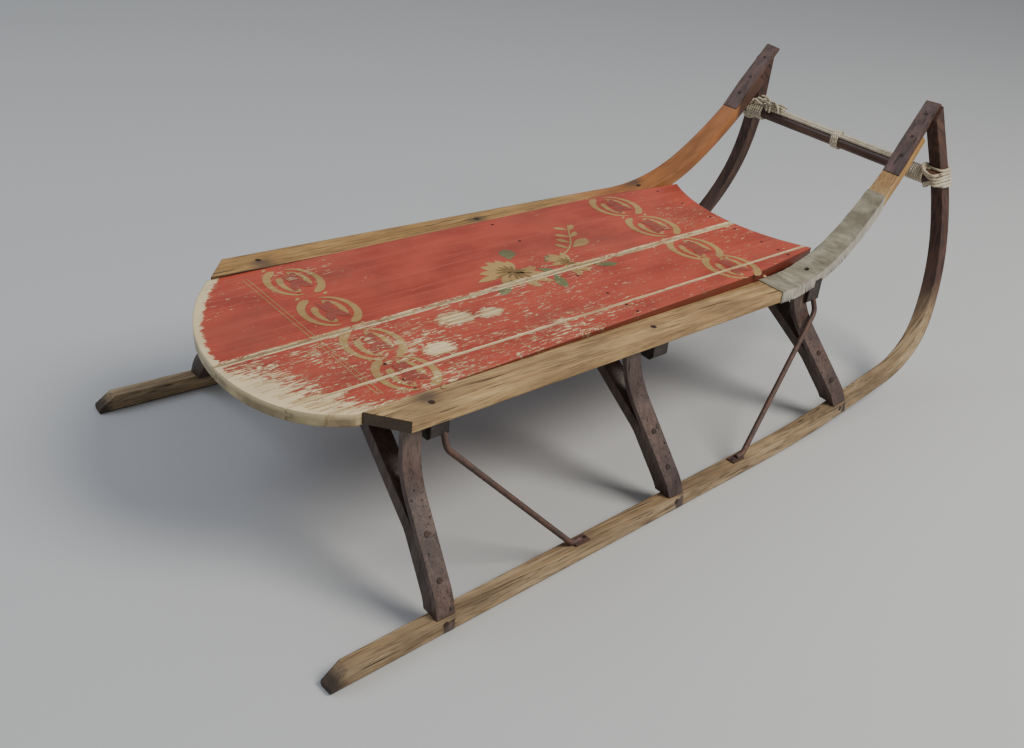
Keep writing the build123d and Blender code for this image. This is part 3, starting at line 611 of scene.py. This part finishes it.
def wreath(gold, maroon, x, y):
    # two scrolls about a dark middle, the second the first turned half round
    for turn in (0, 180):
        way = 1 if turn == 0 else -1
        comma(gold, (x - way * 0.003, y + way * 0.001), (0.031, 0.039), (turn + 100, turn + 268), 0.0125)
        comma(gold, (x - way * 0.002, y - way * 0.004), (0.0165, 0.026), (turn + 122, turn + 262), 0.0105)
        petal(gold, (x - way * 0.004, y - way * 0.008), turn + 250, 0.021, 0.0055, 18)
        petal(gold, (x - way * 0.024, y + way * 0.044), turn + 40, 0.010, 0.0050)
        petal(maroon, (x + way * 0.001, y + way * 0.006), turn + 262, 0.034, 0.012, -16)
    petal(maroon, (x - 0.006, y + 0.027), -76, 0.056, 0.015, 10)


def filmPiece(name, film, material):
    mesh = bpy.data.meshes.new(name)
    mesh.from_pydata(film["points"], [], film["faces"])
    piece = bpy.data.objects.new(name, mesh)
    bpy.context.collection.objects.link(piece)
    choose(piece)
    bpy.ops.object.mode_set(mode="EDIT")
    for low, high in (ornament["joint"], ornament["outerJoint"]):
        for edge in (low, high):
            bpy.ops.mesh.select_all(action="SELECT")
            bpy.ops.mesh.bisect(plane_co=(0, edge, 0), plane_no=(0, 1, 0))
        bpy.ops.mesh.select_all(action="DESELECT")
        bpy.ops.object.mode_set(mode="OBJECT")
        for face in mesh.polygons:
            face.select = low < face.center.y < high
        bpy.ops.object.mode_set(mode="EDIT")
        bpy.ops.mesh.delete(type="FACE")
    bpy.ops.mesh.select_all(action="SELECT")
    bpy.ops.mesh.normals_make_consistent(inside=False)
    bpy.ops.object.mode_set(mode="OBJECT")
    for face in mesh.polygons:
        if face.normal.z < 0:
            face.flip()
    settle(piece, material, 0)


mainPetals = ((178, 0.064, 0.013), (152, 0.050, 0.016), (129, 0.048, 0.017), (107, 0.047, 0.016), (84, 0.043, 0.015),
              (58, 0.036, 0.013), (206, 0.040, 0.013), (241, 0.044, 0.014), (268, 0.055, 0.015), (293, 0.060, 0.015),
              (320, 0.050, 0.013), (350, 0.040, 0.012))
smallPetals = ((95, 0.037, 0.014), (126, 0.036, 0.014), (62, 0.034, 0.012), (160, 0.028, 0.010), (250, 0.041, 0.014),
               (281, 0.038, 0.014), (312, 0.035, 0.012), (214, 0.030, 0.010))
leaves = ((-0.092, 0.046, 52, 0.034, 0.024), (-0.128, -0.008, 204, 0.052, 0.018), (-0.060, -0.020, 238, 0.046, 0.016),
          (-0.050, 0.016, 18, 0.026, 0.012), (0.008, -0.024, 322, 0.038, 0.014), (-0.074, 0.004, 300, 0.028, 0.014))
sprig = ((-0.008, 0.022), (0.010, 0.032), (0.026, 0.046), (0.040, 0.064), (0.054, 0.084), (0.066, 0.100))


def makeOrnament():
    gold, green, maroon, shade = ({"points": [], "faces": [], "strokes": 0, "lift": ornament["lift"] + 0.0001 * i}
                                  for i in (1, 0, 2, 3))
    for x in (ornament["rearRow"], ornament["frontRow"]):
        for y in ornament["wreathY"]:
            wreath(gold, maroon, x + random.uniform(-0.003, 0.003), y * (1 if x < 0 else 0.93))
    for x in ornament["stripes"]:
        stroke(gold, [(x, -0.166 + 0.0332 * i) for i in range(11)], [0.0013] * 11)
    for centre, petals in (((-0.112, 0.010), mainPetals), ((-0.020, -0.004), smallPetals)):
        for angle, length, width in petals:
            petal(gold, centre, angle + random.uniform(-4, 4), length, width, 8)
            petal(shade, centre, angle, length * 0.55, width * 0.30, 8)
    for x, y, angle, length, width in leaves:
        petal(green, (x, y), angle, length, width, 14)
    stroke(gold, list(sprig), [0.0035, 0.0032, 0.003, 0.0028, 0.0024, 0.0016])
    petal(gold, (0.020, 0.034), 12, 0.042, 0.019, 10)
    for place, angle in ((1, 96), (2, 104), (3, 14), (3, 122), (4, 24), (4, 116)):
        petal(gold, sprig[place], angle, 0.024, 0.009, 16)
    for angle in (20, 95, 170, 245, 320):
        petal(shade, (-0.110, 0.008), angle, 0.013, 0.009)
    filmPiece("ochreOrnament", gold, goldPaint)
    filmPiece("greenOrnament", green, greenPaint)
    filmPiece("maroonOrnament", maroon, maroonPaint)
    filmPiece("shadedOrnament", shade, shadePaint)


makeOrnament()
print("ornament")


# cords

def makeCord(name, runs, radius, closed=False):
    # smooth cords through given points; each run is one spline
    curve = bpy.data.curves.new(name, "CURVE")
    curve.dimensions, curve.bevel_depth, curve.bevel_resolution = "3D", radius, 2
    curve.resolution_u, curve.use_fill_caps = 6, True
    for points in runs:
        spline = curve.splines.new("NURBS")
        spline.points.add(len(points) - 1)
        for point, where in zip(spline.points, points):
            point.co = (*where, 1.0)
        spline.order_u = 3
        spline.use_cyclic_u = closed
        spline.use_endpoint_u = not closed
    piece = bpy.data.objects.new(name, curve)
    bpy.context.collection.objects.link(piece)
    choose(piece)
    bpy.ops.object.convert(target="MESH")
    return bpy.context.object


def finishCord(piece, name, length):
    settle(piece, twistedCord(name, cordLook, length), 0)
    bpy.ops.object.shade_smooth()


lashingLook = {"turns": 4, "cord": 0.005, "runner": (0.022, 0.020), "stick": 0.010, "lean": 13.5, "swing": 12.8,
               "spacing": 0.0052, "outerRing": 0.0128, "crossing": 0.0135, "crossingStep": 0.004}


def bowPoint(centre, side, ahead, outward, up):
    # a point round the bow: ahead and outward from its middle, up along its leaning length
    lean, swing = math.radians(lashingLook["lean"]), math.radians(lashingLook["swing"])
    return (centre.x + ahead - up * math.tan(swing), centre.y + side * (outward - up * math.tan(lean)),
            centre.z + up)


def makeLashing(side):
    name = "lashing_left" if side > 0 else "lashing_right"
    block = midpoint(name)
    half = lashingLook["cord"] / 2
    deep, broad = lashingLook["runner"][0] / 2 + half, lashingLook["runner"][1] / 2 + half
    rear = -deep - 2 * lashingLook["stick"]
    centre = Vector((block.x + 0.010, block.y, block.z))
    runs = []
    for up in (-lashingLook["outerRing"], lashingLook["outerRing"]):
        loop = [(deep, -broad), (deep + 0.0004, 0), (deep, broad), (0, broad + 0.0005), (-deep, broad),
                (-deep - 0.0004, 0), (-deep, -broad), (0, -broad - 0.0005)]
        runs.append([bowPoint(centre, side, a, o, up + random.uniform(-0.0004, 0.0004)) for a, o in loop])
    for index in range(lashingLook["turns"]):
        up = (index - 1.5) * lashingLook["spacing"]
        over = lashingLook["crossing"] + lashingLook["crossingStep"] * (index % 2)
        over = over if index > 1 else -over
        loop = [(deep, -broad, up), (deep, 0, up), (deep, broad, up), (0, broad, up), (-deep * 1.4, broad, up),
                (rear, broad, up), (rear - 0.001, broad * 0.4, up * 0.8), (rear - 0.0005, -broad * 0.5, over * 0.6),
                (rear + 0.004, -broad, over), (-deep, -broad - 0.002, over), (0, -broad, over * 0.7)]
        runs.append([bowPoint(centre, side, a, o, u + random.uniform(-0.0003, 0.0003)) for a, o, u in loop])
    piece = makeCord("lashingTurns_" + ("left" if side > 0 else "right"), runs, half, closed=True)
    finishCord(piece, "laidCottonCord" + ("Left" if side > 0 else "Right"), 0.15)
    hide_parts(name)


stickFacts = {"radius": 0.010, "cord": 0.005, "strands": ((16, 2.3), (-8, 3.1), (-32, 2.7)), "perTurn": 8,
              "strandPoints": 9, "wrapWidth": 0.0325, "wrapTurns": 7.0, "wrapOut": 0.004,
              "bindWidth": 0.0155, "bindTurns": 4.5, "bindLift": 0.0046}
stickMiddle = midpoint("spreader_stick")


def coilRound(middleY, width, turns, aloft, cord):
    # an open winding round the stick: a helix with a little unevenness, lifted over the cord on top
    points, perTurn = [], stickFacts["perTurn"]
    reach = stickFacts["radius"] + cord
    for i in range(int(turns * perTurn) + 1):
        angle = 2 * math.pi * i / perTurn
        y = middleY - width / 2 + width * i / (turns * perTurn) + 0.0003 * math.sin(angle * 1.7)
        lift = aloft * max(math.cos(angle), 0.0)
        points.append((stickMiddle.x + reach * math.sin(angle), y, stickMiddle.z + reach * math.cos(angle) + lift))
    return points


def makeStickCords():
    # three strands side by side along the top of the stick
    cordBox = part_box("stick_cord")
    out = (cordBox[0][2] + cordBox[1][2]) / 2 - stickMiddle.z
    reachY = (cordBox[1][1] - cordBox[0][1]) / 2
    runs = []
    for degrees, wander in stickFacts["strands"]:
        lean = math.radians(degrees)
        runs.append([(stickMiddle.x + out * math.sin(lean) + 0.0004 * math.sin(wander * i),
                      -reachY + 2 * reachY * i / (stickFacts["strandPoints"] - 1),
                      stickMiddle.z + out * math.cos(lean)) for i in range(stickFacts["strandPoints"])])
    strands = makeCord("stickTopCord", runs, stickFacts["cord"] / 2)
    finishCord(strands, "laidCottonCordLong", 0.29)
    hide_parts("stick_cord")

    turns = coilRound(midpoint("stick_binding").y, stickFacts["bindWidth"], stickFacts["bindTurns"],
                      stickFacts["bindLift"], 0.0018)
    binding = makeCord("bindingTurns", [turns], 0.0019)
    finishCord(binding, "laidCottonCordBinding", 0.24)
    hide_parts("stick_binding")

    for sideName, way in (("left", 1), ("right", -1)):
        node = "stick_wrap_" + sideName
        middleY = midpoint(node).y + way * stickFacts["wrapOut"]
        turns = coilRound(middleY, stickFacts["wrapWidth"], stickFacts["wrapTurns"], 0.0003, 0.0021)
        wrap = makeCord("wrapTurns_" + sideName, [turns], 0.0024)
        finishCord(wrap, "laidCottonCordWrap" + sideName.title(), 0.55)
        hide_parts(node)


# the knot by the left bow: two crossed hitches, two loose ends and the strands that wander beside them
knotStrands = (
    ((-0.011, -0.002, -0.007), (-0.006, 0.004, 0.003), (0.0, 0.001, 0.006),
     (0.007, -0.005, 0.004), (0.011, -0.001, -0.006), (0.009, 0.005, -0.012)),
    ((0.010, 0.007, -0.006), (0.005, 0.003, 0.005), (-0.001, -0.004, 0.008),
     (-0.008, -0.006, 0.002), (-0.012, -0.009, -0.008)),
    ((-0.001, -0.003, 0.006), (-0.006, -0.012, 0.011), (-0.008, -0.022, 0.006), (-0.011, -0.029, -0.004)),
    ((0.001, 0.002, 0.006), (0.003, 0.012, 0.013), (-0.002, 0.021, 0.012)),
)


def makeKnot():
    wrap = midpoint("stick_wrap_left")
    top = stickMiddle.z + stickFacts["radius"] + 0.0052
    x, y = stickMiddle.x, wrap.y - 0.020
    strands = [[(x + ahead, y + outward, top + up) for ahead, outward, up in strand] for strand in knotStrands]
    for index in range(5):
        sway = 2.1 * index
        strands.append([(x + 0.0075 * math.sin(sway + 0.9 * i), y + 0.030 - 0.0125 * i,
                         top + 0.0015 + 0.0045 * math.cos(sway * 1.7 + 1.3 * i)) for i in range(6)])
    piece = makeCord("lashingKnot", strands, 0.0021)
    finishCord(piece, "laidCottonCordKnot", 0.05)


for side in (1, -1):
    makeLashing(side)
makeStickCords()
makeKnot()
print("cords")


# cloth tape round the right rail

tapeFacts = {"slice": 0.005, "slicesRound": 9, "slant": 0.35, "ripple": 0.0016, "rippleSize": 0.013}


def makeTape(node):
    # a copy of the tape's solid, cut into short slices and rumpled a little
    source = cadNodes[node]
    piece = source.copy()
    piece.data = source.data.copy()
    piece.name = "cloth_" + node
    for key in list(piece.keys()):
        if key.startswith("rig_"):
            del piece[key]
    bpy.context.collection.objects.link(piece)
    low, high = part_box(node)
    choose(piece)
    bpy.ops.object.mode_set(mode="EDIT")
    bpy.ops.mesh.select_all(action="SELECT")
    bpy.ops.mesh.remove_doubles(threshold=0.00002)
    steps = int((high[0] - low[0]) / tapeFacts["slice"])
    for i in range(1, steps):
        bpy.ops.mesh.select_all(action="SELECT")
        across = low[0] + i * (high[0] - low[0]) / steps
        bpy.ops.mesh.bisect(plane_co=(across, 0, 0), plane_no=(1, 0, tapeFacts["slant"]))
    rows = tapeFacts["slicesRound"]
    for i in range(1, rows):
        bpy.ops.mesh.select_all(action="SELECT")
        bpy.ops.mesh.bisect(plane_co=(0, low[1] + i * (high[1] - low[1]) / rows, 0), plane_no=(0, 1, 0))
    bpy.ops.object.mode_set(mode="OBJECT")
    rumple = bpy.data.textures.new("rumple_" + node, "CLOUDS")
    rumple.noise_scale = tapeFacts["rippleSize"]
    push = piece.modifiers.new("rumple", "DISPLACE")
    push.texture, push.strength, push.mid_level = rumple, tapeFacts["ripple"], 0.35
    push.texture_coords = "LOCAL"
    applyModifiers(piece)
    settle(piece, tapeCloth, 40)
    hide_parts(node)


makeTape("tape_wrap_lower")
makeTape("tape_wrap_upper")
print("tape")
